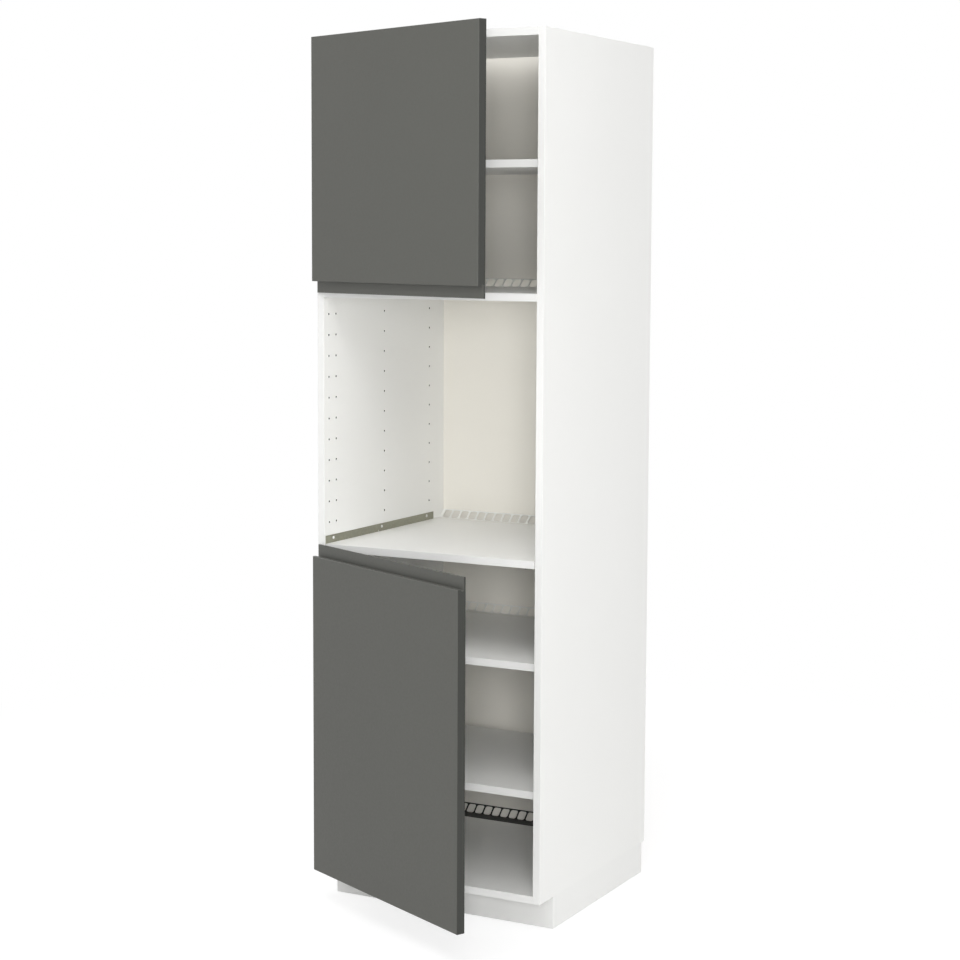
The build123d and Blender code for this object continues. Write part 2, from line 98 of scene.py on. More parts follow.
def newGrain(name):
    group = bpy.data.node_groups.new(name, "ShaderNodeTree")
    sockets = {
        "INPUT": {"Place": "Vector", "Light Tone": "Color", "Deep Tone": "Color",
                  "Scale": "Float", "Smooth": "Float", "Rough": "Float"},
        "OUTPUT": {"Tone": "Color", "Roughness": "Float", "Height": "Float"},
    }
    for way, kinds in sockets.items():
        for label, kind in kinds.items():
            group.interface.new_socket(name=label, in_out=way, socket_type="NodeSocket" + kind)
    return group, group.nodes.new("NodeGroupInput"), group.nodes.new("NodeGroupOutput")


def finishGrain(group, start, end, mask, gloss, height):
    link = group.links.new
    tone = mixTones(group, mask, start.outputs["Deep Tone"], start.outputs["Light Tone"])
    link(start.outputs["Smooth"], gloss.inputs["To Min"])
    link(start.outputs["Rough"], gloss.inputs["To Max"])
    link(tone, end.inputs["Tone"])
    link(gloss.outputs["Result"], end.inputs["Roughness"])
    link(height, end.inputs["Height"])
    return group


# foil grain: cloudy tone, fine pores and an uneven gloss
def makeFoilGrain():
    group, start, end = newGrain("foilGrain")
    link = group.links.new
    cloud = addNode(group, "ShaderNodeTexNoise", {"Scale": 2.6, "Detail": 3.0, "Roughness": 0.55})
    pores = addNode(group, "ShaderNodeTexNoise", {"Detail": 2.0, "Roughness": 0.6})
    fine = addNode(group, "ShaderNodeTexNoise", {"Scale": 160.0, "Detail": 4.0, "Roughness": 0.65})
    fineInTone, fineInHeight = 0.35, 0.5
    blend = addNode(group, "ShaderNodeMath", {1: fineInTone}, operation="MULTIPLY_ADD")
    gloss = addNode(group, "ShaderNodeMapRange", {"From Min": 0.3, "From Max": 0.7})
    lift = addNode(group, "ShaderNodeMath", {1: fineInHeight}, operation="MULTIPLY_ADD")
    for noise in (cloud, pores, fine):
        link(start.outputs["Place"], noise.inputs["Vector"])
    link(start.outputs["Scale"], pores.inputs["Scale"])
    link(fine.outputs["Fac"], blend.inputs[0])
    link(cloud.outputs["Fac"], blend.inputs[2])
    link(fine.outputs["Fac"], gloss.inputs["Value"])
    link(fine.outputs["Fac"], lift.inputs[0])
    link(pores.outputs["Fac"], lift.inputs[2])
    return finishGrain(group, start, end, blend.outputs[0], gloss, lift.outputs[0])


# metal grain: spangle patches and drawn lines
def makeMetalGrain():
    group, start, end = newGrain("metalGrain")
    link = group.links.new
    spangle = addNode(group, "ShaderNodeTexVoronoi", feature="F1")
    drawn = addNode(group, "ShaderNodeMapping", {"Scale": (900.0, 12.0, 900.0)})
    lines = addNode(group, "ShaderNodeTexNoise", {"Scale": 1.0, "Detail": 2.0})
    patch = addNode(group, "ShaderNodeSeparateColor")
    linesInTone, patchInTone = 0.5, 0.5
    blend = addNode(group, "ShaderNodeMath", {1: linesInTone}, operation="MULTIPLY_ADD")
    shift = addNode(group, "ShaderNodeMath", {1: patchInTone}, operation="MULTIPLY")
    gloss = addNode(group, "ShaderNodeMapRange")
    link(start.outputs["Place"], spangle.inputs["Vector"])
    link(start.outputs["Scale"], spangle.inputs["Scale"])
    link(start.outputs["Place"], drawn.inputs["Vector"])
    link(drawn.outputs["Vector"], lines.inputs["Vector"])
    link(spangle.outputs["Color"], patch.inputs["Color"])
    link(patch.outputs["Red"], shift.inputs[0])
    link(lines.outputs["Fac"], blend.inputs[0])
    link(shift.outputs[0], blend.inputs[2])
    link(blend.outputs[0], gloss.inputs["Value"])
    return finishGrain(group, start, end, blend.outputs[0], gloss, lines.outputs["Fac"])


foilGrain = makeFoilGrain()
metalGrain = makeMetalGrain()


def useGrain(tree, group, spot, light, deep, **others):
    values = {"Light Tone": (*light, 1), "Deep Tone": (*deep, 1)}
    for key, value in others.items():
        values[key.title()] = value
    made = addNode(tree, "ShaderNodeGroup", values, node_tree=group)
    tree.links.new(spot["Object"], made.inputs["Place"])
    return made


def dress(tree, shader, grain, tone, bump):
    bumps = addNode(tree, "ShaderNodeBump", bump)
    tree.links.new(tone, shader.inputs["Base Color"])
    tree.links.new(grain.outputs["Roughness"], shader.inputs["Roughness"])
    tree.links.new(grain.outputs["Height"], bumps.inputs["Height"])
    tree.links.new(bumps.outputs["Normal"], shader.inputs["Normal"])


def grainMaterial(name, group, bump, metallic, grain):
    material, tree, shader, spot = newMaterial(name)
    layer = useGrain(tree, group, spot, **grain)
    shader.inputs["Metallic"].default_value = metallic
    dress(tree, shader, layer, layer.outputs["Tone"], bump)
    return material


def foilMaterial(name, bump, **grain):
    return grainMaterial(name, foilGrain, bump, metallic=0.0, grain=grain)


def metalMaterial(name, **grain):
    bump = {"Strength": 0.1, "Distance": 0.0001}
    return grainMaterial(name, metalGrain, bump, metallic=1.0, grain=grain)


# door foil: dark olive grey, with painted shade making the upright narrow edges deeper
doorFinish = {
    "foil": {"light": (0.081, 0.082, 0.072), "deep": (0.073, 0.074, 0.065),
             "scale": 1400.0, "smooth": 0.42, "rough": 0.55},
    "paintedEdgeShade": (0.021, 0.022, 0.018), "edge": {"From Min": 0.55, "From Max": 0.95},
    "bump": {"Strength": 0.15, "Distance": 0.0002},
}


def doorMaterial(door):
    material, tree, shader, spot = newMaterial(door + "DoorFoil")
    link = tree.links.new
    grain = useGrain(tree, foilGrain, spot, **doorFinish["foil"])
    angle = math.radians(doorTurns[door])
    along = (math.cos(angle), -math.sin(angle), 0.0)
    # the upright narrow edges, picked by their facing along the door, take a darker painted shade tone
    across = addNode(tree, "ShaderNodeVectorMath", {1: along}, operation="DOT_PRODUCT")
    size = addNode(tree, "ShaderNodeMath", operation="ABSOLUTE")
    edge = addNode(tree, "ShaderNodeMapRange", doorFinish["edge"], interpolation_type="SMOOTHSTEP")
    tone = addNode(tree, "ShaderNodeMix", {"B": (*doorFinish["paintedEdgeShade"], 1)}, data_type="RGBA")
    link(spot["Normal"], across.inputs[0])
    link(across.outputs["Value"], size.inputs[0])
    link(size.outputs[0], edge.inputs["Value"])
    link(edge.outputs["Result"], tone.inputs["Factor"])
    link(grain.outputs["Tone"], tone.inputs["A"])
    dress(tree, shader, grain, tone.outputs["Result"], doorFinish["bump"])
    return material


# back sheet: foil on the room side, the tone of bare pressed fibres on the rear
backFinish = {
    "foil": {"light": (0.878, 0.853, 0.787), "deep": (0.853, 0.828, 0.762),
             "scale": 900.0, "smooth": 0.42, "rough": 0.55},
    "fibre": {"light": (0.36, 0.265, 0.175), "deep": (0.23, 0.160, 0.100)},
    "rearFrom": 0.5, "bump": {"Strength": 0.15, "Distance": 0.0002},
}


def backMaterial():
    material, tree, shader, spot = newMaterial("backFoil")
    grain = useGrain(tree, foilGrain, spot, **backFinish["foil"])
    fibre = useGrain(tree, foilGrain, spot, **backFinish["fibre"])
    split = addNode(tree, "ShaderNodeSeparateXYZ")
    rear = addNode(tree, "ShaderNodeMath", {1: backFinish["rearFrom"]}, operation="GREATER_THAN")
    tree.links.new(spot["Normal"], split.inputs[0])
    tree.links.new(split.outputs["Y"], rear.inputs[0])
    tone = mixTones(tree, rear.outputs[0], grain.outputs["Tone"], fibre.outputs["Tone"])
    dress(tree, shader, grain, tone, backFinish["bump"])
    return material


# plain finishes: foil, powder coat, plastic and plated steel
foilCoat = {"bump": {"Strength": 0.12, "Distance": 0.0002}, "scale": 900.0}
powderCoat = {"bump": {"Strength": 0.25, "Distance": 0.0002}, "scale": 2200.0, "smooth": 0.45, "rough": 0.6}
moulded = {"bump": {"Strength": 0.3, "Distance": 0.0003}, "scale": 1600.0, "smooth": 0.4, "rough": 0.6}
bored = {"bump": {"Strength": 0.4, "Distance": 0.0004}, "scale": 1800.0, "smooth": 0.85, "rough": 0.95}
finishes = {
    "carcass_board": foilMaterial(
        "whiteFoil", light=(0.90, 0.90, 0.883), deep=(0.878, 0.878, 0.858),
        smooth=0.29, rough=0.40, **foilCoat),
    "back_sheet": backMaterial(),
    "plinth_board": foilMaterial(
        "plinthFoil", light=(0.89, 0.89, 0.875), deep=(0.868, 0.868, 0.85),
        smooth=0.33, rough=0.45, **foilCoat),
    "galvanised_steel": metalMaterial(
        "galvanisedZinc", light=(0.42, 0.42, 0.345), deep=(0.32, 0.32, 0.262),
        scale=180.0, smooth=0.32, rough=0.5),
    "bright_steel": metalMaterial(
        "brightZinc", light=(0.86, 0.86, 0.85), deep=(0.7, 0.7, 0.69),
        scale=400.0, smooth=0.2, rough=0.35),
    "hinge_steel": metalMaterial(
        "nickelPlate", light=(0.60, 0.595, 0.58), deep=(0.47, 0.465, 0.45),
        scale=60.0, smooth=0.26, rough=0.42),
    "white_steel": foilMaterial(
        "whitePowder", light=(0.88, 0.88, 0.85), deep=(0.84, 0.84, 0.81), **powderCoat),
    "dark_steel": foilMaterial(
        "darkPowder", light=(0.030, 0.030, 0.026), deep=(0.020, 0.020, 0.018), **powderCoat),
    "leg_plastic": foilMaterial(
        "blackPlastic", light=(0.030, 0.030, 0.031), deep=(0.020, 0.020, 0.021), **moulded),
}
# front edge band: a real band, its tone lowered below the foil's as painted shade
edgeBandAndShade = foilMaterial(
    "edgeBandAndShade", light=(0.775, 0.775, 0.763), deep=(0.76, 0.76, 0.745), smooth=0.3, rough=0.42, **foilCoat)
# near-black painted shade lining the holes, the back groove and the pin pockets, darker than bare board
paintedRecessShade = foilMaterial("paintedRecessShade", light=(0.040, 0.035, 0.030), deep=(0.022, 0.019, 0.016), **bored)
doorFinishes = {door + "_door": doorMaterial(door) for door in doorTurns}


def finishOf(node):
    return doorFinishes.get(node) or finishes[slotOf[node]]


for name, thing in nodes.items():
    thing.data.materials.clear()
    thing.data.materials.append(finishOf(name))
print("finishes on", len(nodes), "nodes")


# modelling helpers
def activate(piece):
    bpy.ops.object.select_all(action="DESELECT")
    piece.select_set(True)
    bpy.context.view_layer.objects.active = piece


def settleShape(piece, name):
    piece.name = name
    activate(piece)
    bpy.ops.object.transform_apply(location=True, rotation=True, scale=True)
    return piece


def startBox(name, low, high):
    bpy.ops.object.select_all(action="DESELECT")
    low, high = Vector(low), Vector(high)
    bpy.ops.mesh.primitive_cube_add(size=1.0, location=(low + high) / 2)
    bpy.context.object.scale = high - low
    return settleShape(bpy.context.object, name)


def startRod(name, radius, depth, at, sides, axis=(0, 0, 1)):
    bpy.ops.object.select_all(action="DESELECT")
    turn = Vector((0, 0, 1)).rotation_difference(Vector(axis)).to_euler()
    bpy.ops.mesh.primitive_cylinder_add(
        radius=radius, depth=depth, vertices=sides, location=at, rotation=turn)
    return settleShape(bpy.context.object, name)


def startSheet(name, at, turn, size):
    bpy.ops.object.select_all(action="DESELECT")
    bpy.ops.mesh.primitive_plane_add(size=1.0, location=at, rotation=turn)
    bpy.context.object.scale = (*size, 1)
    return settleShape(bpy.context.object, name)


def applyModifier(piece, kind, **settings):
    activate(piece)
    modifier = piece.modifiers.new(kind.lower(), kind)
    for key, value in settings.items():
        setattr(modifier, key, value)
    bpy.ops.object.modifier_apply(modifier=modifier.name)


def cutAway(piece, *cutters):
    for cutter in cutters:
        applyModifier(piece, "BOOLEAN", operation="DIFFERENCE", solver="EXACT",
                      material_mode="TRANSFER", object=cutter)
        bpy.data.objects.remove(cutter)


def roundEdges(piece, width, segments=2, over=limits["rounded"]):
    applyModifier(piece, "BEVEL", width=width, segments=segments,
                  limit_method="ANGLE", angle_limit=math.radians(over))


def thicken(piece, sheet):
    applyModifier(piece, "SOLIDIFY", thickness=sheet, offset=0.0, use_even_offset=True)


def repeatAlong(piece, count, step):
    applyModifier(piece, "ARRAY", count=count, use_relative_offset=False, use_constant_offset=True,
                  constant_offset_displace=step)


def editAll(piece):
    activate(piece)
    bpy.ops.object.mode_set(mode="EDIT")
    bpy.ops.mesh.select_all(action="SELECT")


def smoothShading(piece):
    editAll(piece)
    bpy.ops.mesh.remove_doubles(threshold=limits["sliver"])
    bpy.ops.mesh.dissolve_degenerate(threshold=limits["sliver"])
    bpy.ops.mesh.delete_loose()
    bpy.ops.object.mode_set(mode="OBJECT")
    bpy.ops.object.shade_smooth_by_angle(angle=math.radians(limits["shaded"]))
    applyModifier(piece, "WEIGHTED_NORMAL", keep_sharp=True)


# leaves the piece in edit mode with the edges picked that pass the test
def pickEdges(piece, test):
    activate(piece)
    bpy.ops.object.mode_set(mode="EDIT")
    bpy.ops.mesh.select_mode(type="EDGE")
    bpy.ops.mesh.select_all(action="DESELECT")
    bpy.ops.object.mode_set(mode="OBJECT")
    points = piece.data.vertices
    for edge in piece.data.edges:
        edge.select = test(points[edge.vertices[0]].co, points[edge.vertices[1]].co)
    bpy.ops.object.mode_set(mode="EDIT")


def bevelEdges(piece, test, offset, segments):
    pickEdges(piece, test)
    bpy.ops.mesh.bevel(offset=offset, segments=segments, affect="EDGES")
    bpy.ops.object.mode_set(mode="OBJECT")


def pullEdges(piece, test, *moves):
    pickEdges(piece, test)
    for move in moves:
        bpy.ops.mesh.extrude_region_move(TRANSFORM_OT_translate={"value": move})
    bpy.ops.object.mode_set(mode="OBJECT")


def copyTo(source, matrix):
    activate(source)
    bpy.ops.object.duplicate()
    copied = bpy.context.object
    copied.matrix_world = matrix
    bpy.ops.object.transform_apply(location=True, rotation=True, scale=True)
    return copied


# the matrix that moves a piece to a place and turns its own Z outward
def facing(at, outward):
    turn = Vector((0, 0, 1)).rotation_difference(Vector(outward)).to_matrix().to_4x4()
    return Matrix.Translation(at) @ turn


def joinAll(name, parts):
    bpy.ops.object.select_all(action="DESELECT")
    for part in parts:
        part.select_set(True)
    bpy.context.view_layer.objects.active = parts[0]
    bpy.ops.object.join()
    bpy.context.object.name = name
    return bpy.context.object


def standFor(piece, node, body="cabinet"):
    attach(piece, body)
    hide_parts(node)


def joinFor(node, name, parts):
    group = joinAll(name, parts)
    group.data.materials.append(finishOf(node))
    standFor(group, node)


# boards: foil all round, a band on the front edge with painted shade in its darker tone, eased arrises, pin
# pockets in the loose shelves
boards = {
    "arris": 0.0008, "bandFacing": -0.6, "overcut": 0.001,
    "pocketDepth": 0.0064, "pocketWidth": 0.0056, "pocketRise": 0.0114,
    "pieces": {
        "top_panel": "topBoard", "bottom_panel": "bottomBoard", "niche_top_shelf": "nicheTopBoard",
        "oven_shelf": "ovenShelfBoard", "upper_shelf": "upperShelfBoard",
        "middle_shelf": "middleShelfBoard", "lower_shelf": "lowerShelfBoard",
        "plinth_front": "plinthFrontBoard", "plinth_left": "plinthLeftBoard",
        "plinth_right": "plinthRightBoard",
    },
    "loose": ("upper_shelf", "middle_shelf", "lower_shelf"),
}


def startBoard(node, name, low, high):
    piece = startBox(name, low, high)
    piece.data.materials.append(finishOf(node))
    roundEdges(piece, boards["arris"])
    piece.data.materials.append(edgeBandAndShade)
    for face in piece.data.polygons:
        if face.normal.y < boards["bandFacing"]:
            face.material_index = 1
    return piece


def cutPockets(piece, low, high):
    depth, overcut = boards["pocketDepth"], boards["overcut"]
    half = boards["pocketWidth"] / 2
    for column in pinColumns:
        for near, far in ((low.x - overcut, low.x + depth), (high.x - depth, high.x + overcut)):
            pocket = startBox("pinPocket", (near, column - half, low.z - overcut),
                              (far, column + half, low.z + boards["pocketRise"]))
            # the pocket is lined with painted shade
            pocket.data.materials.append(paintedRecessShade)
            cutAway(piece, pocket)


def makeBoards():
    for node, name in boards["pieces"].items():
        low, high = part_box(node)
        piece = startBoard(node, name, low, high)
        if node in boards["loose"]:
            cutPockets(piece, low, high)
        smoothShading(piece)
        standFor(piece, node)


# sides: groove for the back sheet and full columns of system holes
sideBoards = {
    "pieces": {"left_side_panel": ("leftSideBoard", 1), "right_side_panel": ("rightSideBoard", -1)},
    "columns": (-0.278, -0.246, -0.018, 0.210), "pitch": 0.05, "rows": 39,
    "holeRadius": 0.0025, "holeDepth": 0.011, "holeSides": 14,
    "grooveFrom": 0.2869, "grooveTo": 0.2901, "grooveDepth": 0.008, "overcut": 0.002,
}


def makeSides():
    overcut, pitch = sideBoards["overcut"], sideBoards["pitch"]
    for node, (name, inward) in sideBoards["pieces"].items():
        low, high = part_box(node)
        innerX = high.x if inward > 0 else low.x
        piece = startBoard(node, name, low, high)
        near, far = sorted((innerX - inward * sideBoards["grooveDepth"], innerX + inward * overcut))
        groove = startBox("backGroove", (near, sideBoards["grooveFrom"], low.z - overcut),
                          (far, sideBoards["grooveTo"], high.z + overcut))
        # the groove and the holes are lined with painted shade
        groove.data.materials.append(paintedRecessShade)
        holes = []
        for column in sideBoards["columns"]:
            hole = startRod("systemHole", sideBoards["holeRadius"], 2 * sideBoards["holeDepth"],
                            (innerX, column, low.z + pitch), sideBoards["holeSides"], (1, 0, 0))
            repeatAlong(hole, sideBoards["rows"], (0, 0, pitch))
            holes.append(hole)
        drill = joinAll("systemHoles", holes)
        drill.data.materials.append(paintedRecessShade)
        cutAway(piece, groove, drill)
        smoothShading(piece)
        standFor(piece, node)


# grilles: bent sheet with round-cornered slots in its sloping face
grilles = {
    "pieces": {"niche_top_grille": "nicheTopVent", "oven_shelf_grille": "ovenShelfVent",
               "middle_shelf_grille": "middleShelfVent", "bottom_grille": "bottomVent"},
    "sheet": 0.0012, "hook": 0.012, "bendY": 0.264, "crestY": 0.2858, "crestRise": 0.020,
    "pitch": 0.025, "count": 22, "slotWide": 0.0208, "slotLong": 0.0252, "slotDrop": 0.0008,
    "corner": 0.0052, "cornerSteps": 5, "cutReach": 0.006, "arris": 0.0003,
}


def makeVentSheet(name, low, high):
    half = grilles["sheet"] / 2
    surface = low.z + grilles["hook"]
    edgeY, bendZ = low.y + half, surface - half
    bendY, crestY, rise = grilles["bendY"], grilles["crestY"], grilles["crestRise"]
    sheet = startSheet(name, (0, edgeY, (low.z + bendZ) / 2), (math.pi / 2, 0, 0),
                       (high.x - low.x, bendZ - low.z))
    pullEdges(sheet, lambda a, b: min(a.z, b.z) > bendZ - touch,
              (0, bendY - edgeY, 0), (0, crestY - bendY, rise + half))
    thicken(sheet, grilles["sheet"])
    return sheet, Vector((0, bendY, bendZ)), Vector((0, crestY, surface + rise))


def makeSlotCutter(bend, crest):
    wide, long, reach = grilles["slotWide"] / 2, grilles["slotLong"] / 2, grilles["cutReach"]
    cutter = startBox("ventSlot", (-wide, -long, -reach), (wide, long, reach))
    bevelEdges(cutter, lambda a, b: abs(a.z - b.z) > touch, grilles["corner"], grilles["cornerSteps"])
    rise = crest - bend
    cutter.location = (bend + crest) / 2 - rise.normalized() * grilles["slotDrop"]
    cutter.location.x = (1 - grilles["count"]) / 2 * grilles["pitch"]
    cutter.rotation_euler = (math.atan2(rise.z, rise.y), 0, 0)
    settleShape(cutter, "ventSlots")
    repeatAlong(cutter, grilles["count"], (grilles["pitch"], 0, 0))
    return cutter


def makeVents():
    for node, name in grilles["pieces"].items():
        low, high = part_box(node)
        sheet, bend, crest = makeVentSheet(name, low, high)
        sheet.data.materials.append(finishOf(node))
        cutAway(sheet, makeSlotCutter(bend, crest))
        roundEdges(sheet, grilles["arris"], segments=1)
        smoothShading(sheet)
        standFor(sheet, node)


# rails: folded steel angles with a small round hole in the upright leg
rails = {
    "pieces": {"oven_rail_left": ("ovenRailLeft", 1), "oven_rail_right": ("ovenRailRight", -1)},
    "sheet": 0.0015, "foldRadius": 0.0022, "foldSteps": 5, "arris": 0.0003,
    "holeY": -0.049, "holeZ": 0.8815, "holeRadius": 0.0022, "cutLength": 0.01, "holeSides": 20,
}


def makeRails():
    half = rails["sheet"] / 2
    for node, (name, inward) in rails["pieces"].items():
        low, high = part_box(node)
        wallX = (low.x if inward > 0 else high.x) + inward * half
        lowEnd = low.z + rails["sheet"]    # the lower edge of the upright leg lies below this
        middle = (wallX, (low.y + high.y) / 2, (low.z + half + high.z) / 2)
        rail = startSheet(name, middle, (0, math.pi / 2, 0), (high.z - low.z - half, high.y - low.y))
        pullEdges(rail, lambda a, b: max(a.z, b.z) < lowEnd, (inward * (high.x - low.x - half), 0, 0))
        bevelEdges(
            rail, lambda a, b: max(a.z, b.z) < lowEnd and max(abs(a.x - wallX), abs(b.x - wallX)) < touch,
            rails["foldRadius"], rails["foldSteps"])
        thicken(rail, rails["sheet"])
        rail.data.materials.append(finishOf(node))
        cutAway(rail, startRod("railHole", rails["holeRadius"], rails["cutLength"],
                               (wallX, rails["holeY"], rails["holeZ"]), rails["holeSides"], (1, 0, 0)))
        roundEdges(rail, rails["arris"], segments=1)
        smoothShading(rail)
        standFor(rail, node)


# screws: domed heads with a cross recess, in shares of the radius and the height
screws = {"recessWidth": 0.24, "recessReach": 1.15, "recessDepth": 0.75, "recessTop": 2,
          "dome": 0.7, "domeSteps": 4, "sides": 28}


def makeScrewHead(name, radius, height):
    head = startRod(name, radius, height, (0, 0, height / 2), screws["sides"])
    bevelEdges(head, lambda a, b: min(a.z, b.z) > height - touch,
               height * screws["dome"], screws["domeSteps"])
    wide, long = radius * screws["recessWidth"] / 2, radius * screws["recessReach"] / 2
    floor, top = height * (1 - screws["recessDepth"]), height * screws["recessTop"]
    cutAway(head, startBox("crossSlot", (-long, -wide, floor), (long, wide, top)),
            startBox("crossSlot", (-wide, -long, floor), (wide, long, top)))
    smoothShading(head)
    return head


railScrews = {"radius": 0.0035, "height": 0.0016, "columns": (-0.262, -0.034, 0.1945), "z": 0.891,
              "wallX": 0.2805}


def makeRailScrews():
    head = makeScrewHead("railScrewHead", railScrews["radius"], railScrews["height"])
    heads = []
    for side in (-1, 1):
        for column in railScrews["columns"]:
            at = (side * railScrews["wallX"], column, railScrews["z"])
            heads.append(copyTo(head, facing(at, (-side, 0, 0))))
    bpy.data.objects.remove(head)
    joinFor("rail_screws", "railScrewHeads", heads)


# hinge screws: plate and adjusting screws in the cabinet, cup screws in the doors
hingeScrews = {
    "plateX": -0.280, "plateY": -0.278, "heelX": -0.260, "heelY": (-0.264, -0.250),
    "earAlong": 0.0275, "earReach": 0.0255, "earRise": 0.001,
    "plateHead": {"radius": 0.0036, "height": 0.0014},
    "heelHead": {"radius": 0.0030, "height": 0.0009},
    "earHead": {"radius": 0.0036, "height": 0.0010},
    "doors": {
        "upper": {"corner": (-0.295096, -0.301091), "levels": (1.58, 1.98)},
        "lower": {"corner": (-0.294036, -0.300972), "levels": (0.18, 0.78)},
    },
}


def makeHingeScrews():
    plateHead = makeScrewHead("plateScrew", **hingeScrews["plateHead"])
    heelHead = makeScrewHead("heelScrew", **hingeScrews["heelHead"])
    earHead = makeScrewHead("earScrew", **hingeScrews["earHead"])
    for door, values in hingeScrews["doors"].items():
        angle = math.radians(doorTurns[door])
        along = Vector((math.cos(angle), -math.sin(angle), 0))
        inward = Vector((math.sin(angle), math.cos(angle), 0))
        corner = Vector((*values["corner"], 0))
        still, swinging = [], []
        for level in values["levels"]:
            plate = (hingeScrews["plateX"], hingeScrews["plateY"], level)
            still.append(copyTo(plateHead, facing(plate, (1, 0, 0))))
            for y in hingeScrews["heelY"]:
                still.append(copyTo(heelHead, facing((hingeScrews["heelX"], y, level), (1, 0, 0))))
            for side in (-1, 1):
                ear = corner + along * hingeScrews["earAlong"] + inward * hingeScrews["earRise"]
                ear.z = level + side * hingeScrews["earReach"]
                swinging.append(copyTo(earHead, facing(ear, inward)))
        for heads, body, label in ((still, "cabinet", "ArmScrews"), (swinging, door + "_door", "CupScrews")):
            group = joinAll(door + "Hinge" + label, heads)
            group.data.materials.append(finishes["bright_steel"])
            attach(group, body)
    for head in (plateHead, heelHead, earHead):
        bpy.data.objects.remove(head)


# legs: turned feet with rings in place of a thread's helix, and flanged sockets
legs = {
    "foot": [(0.0, 0.0), (0.0252, 0.0), (0.0268, 0.0012), (0.027, 0.0045), (0.0258, 0.0064),
             (0.0235, 0.007), (0.0123, 0.007)],    # radius and height of each point
    "thread": {"from": 0.0085, "to": 0.0575, "turns": 14, "root": 0.0111, "crest": 0.0122,
               "crestFrom": 0.35, "crestTo": 0.65},
    "socket": [(0.0126, 0.028), (0.0160, 0.028), (0.0169, 0.029), (0.0169, 0.066), (0.0190, 0.0708),
               (0.0295, 0.0722), (0.0309, 0.0738), (0.0309, 0.08), (0.0126, 0.08), (0.0126, 0.028)],
    "places": {"foot_front_left": (-0.240, -0.165), "foot_front_right": (0.240, -0.165),
               "foot_rear_left": (-0.240, 0.165), "foot_rear_right": (0.240, 0.165)},
    "steps": 40, "seed": 0.001,
}


def turnProfile(name, profile):
    bpy.ops.object.select_all(action="DESELECT")
    bpy.ops.mesh.primitive_plane_add(size=legs["seed"], location=(0, 0, 0))
    piece = bpy.context.object
    bpy.ops.object.mode_set(mode="EDIT")
    bpy.ops.mesh.select_mode(type="VERT")
    bpy.ops.mesh.select_all(action="SELECT")
    bpy.ops.mesh.merge(type="CENTER")    # one point, from which the outline is drawn
    bpy.ops.transform.translate(value=(profile[0][0], 0, profile[0][1]))
    for (nearR, nearZ), (farR, farZ) in zip(profile, profile[1:]):
        bpy.ops.mesh.extrude_vertices_move(TRANSFORM_OT_translate={"value": (farR - nearR, 0, farZ - nearZ)})
    bpy.ops.mesh.select_all(action="SELECT")
    bpy.ops.mesh.spin(steps=legs["steps"], angle=2 * math.pi, center=(0, 0, 0), axis=(0, 0, 1))
    bpy.ops.mesh.select_all(action="SELECT")
    bpy.ops.mesh.remove_doubles(threshold=limits["seam"])
    bpy.ops.mesh.normals_make_consistent(inside=False)
    bpy.ops.object.mode_set(mode="OBJECT")
    settleShape(piece, name)
    smoothShading(piece)
    return piece


def footProfile():
    thread = legs["thread"]
    pitch = (thread["to"] - thread["from"]) / thread["turns"]
    profile = list(legs["foot"])
    for turn in range(thread["turns"]):
        start = thread["from"] + turn * pitch
        profile += [(thread["root"], start), (thread["crest"], start + thread["crestFrom"] * pitch),
                    (thread["crest"], start + thread["crestTo"] * pitch), (thread["root"], start + pitch)]
    profile.append((0.0, thread["to"]))
    return profile


def makeLegs():
    foot = turnProfile("turnedFoot", footProfile())
    socket = turnProfile("legSocket", legs["socket"])
    sockets = []
    for node, (x, y) in legs["places"].items():
        piece = copyTo(foot, Matrix.Translation((x, y, 0)))
        piece.name = camelName(node)
        piece.data.materials.append(finishOf(node))
        standFor(piece, node, node)
        sockets.append(copyTo(socket, Matrix.Translation((x, y, 0))))
    joinFor("leg_sockets", "flangedSockets", sockets)
    for pattern in (foot, socket):
        bpy.data.objects.remove(pattern)


# pressed steel and moulded pieces: the solids with eased edges
eased = {
    "width": {"hinge_cups": 0.0003, "hinge_arms": 0.0008, "hinge_plates": 0.0006,
              "hinge_outer_links": 0.0004, "hinge_inner_links": 0.0003},
    "bodies": {"hinge_cups": "door", "hinge_outer_links": "outer_links", "hinge_inner_links": "inner_links"},
    "single": {"wall_brackets": 0.0004, "plinth_clips": 0.0005},
}


def easeNode(node, width, body):
    piece = bpy.data.objects.new(camelName(node), nodes[node].data.copy())
    scene.collection.objects.link(piece)
    editAll(piece)
    bpy.ops.mesh.remove_doubles(threshold=limits["double"])
    bpy.ops.mesh.dissolve_limited(angle_limit=math.radians(limits["flat"]))
    bpy.ops.object.mode_set(mode="OBJECT")
    roundEdges(piece, width, over=limits["eased"])
    smoothShading(piece)
    standFor(piece, node, body)


def makeEased():
    for door in doorTurns:
        for kind, width in eased["width"].items():
            body = door + "_" + eased["bodies"][kind] if kind in eased["bodies"] else "cabinet"
            easeNode(door + "_" + kind, width, body)
    for node, width in eased["single"].items():
        easeNode(node, width, "cabinet")


# shelf pins: plain round pins with eased ends
shelfPins = {"radius": 0.0024, "length": 0.018, "sides": 24, "sunk": 0.011, "arris": 0.0005,
             "levels": (1.78, 0.63, 0.33), "wallX": 0.282}


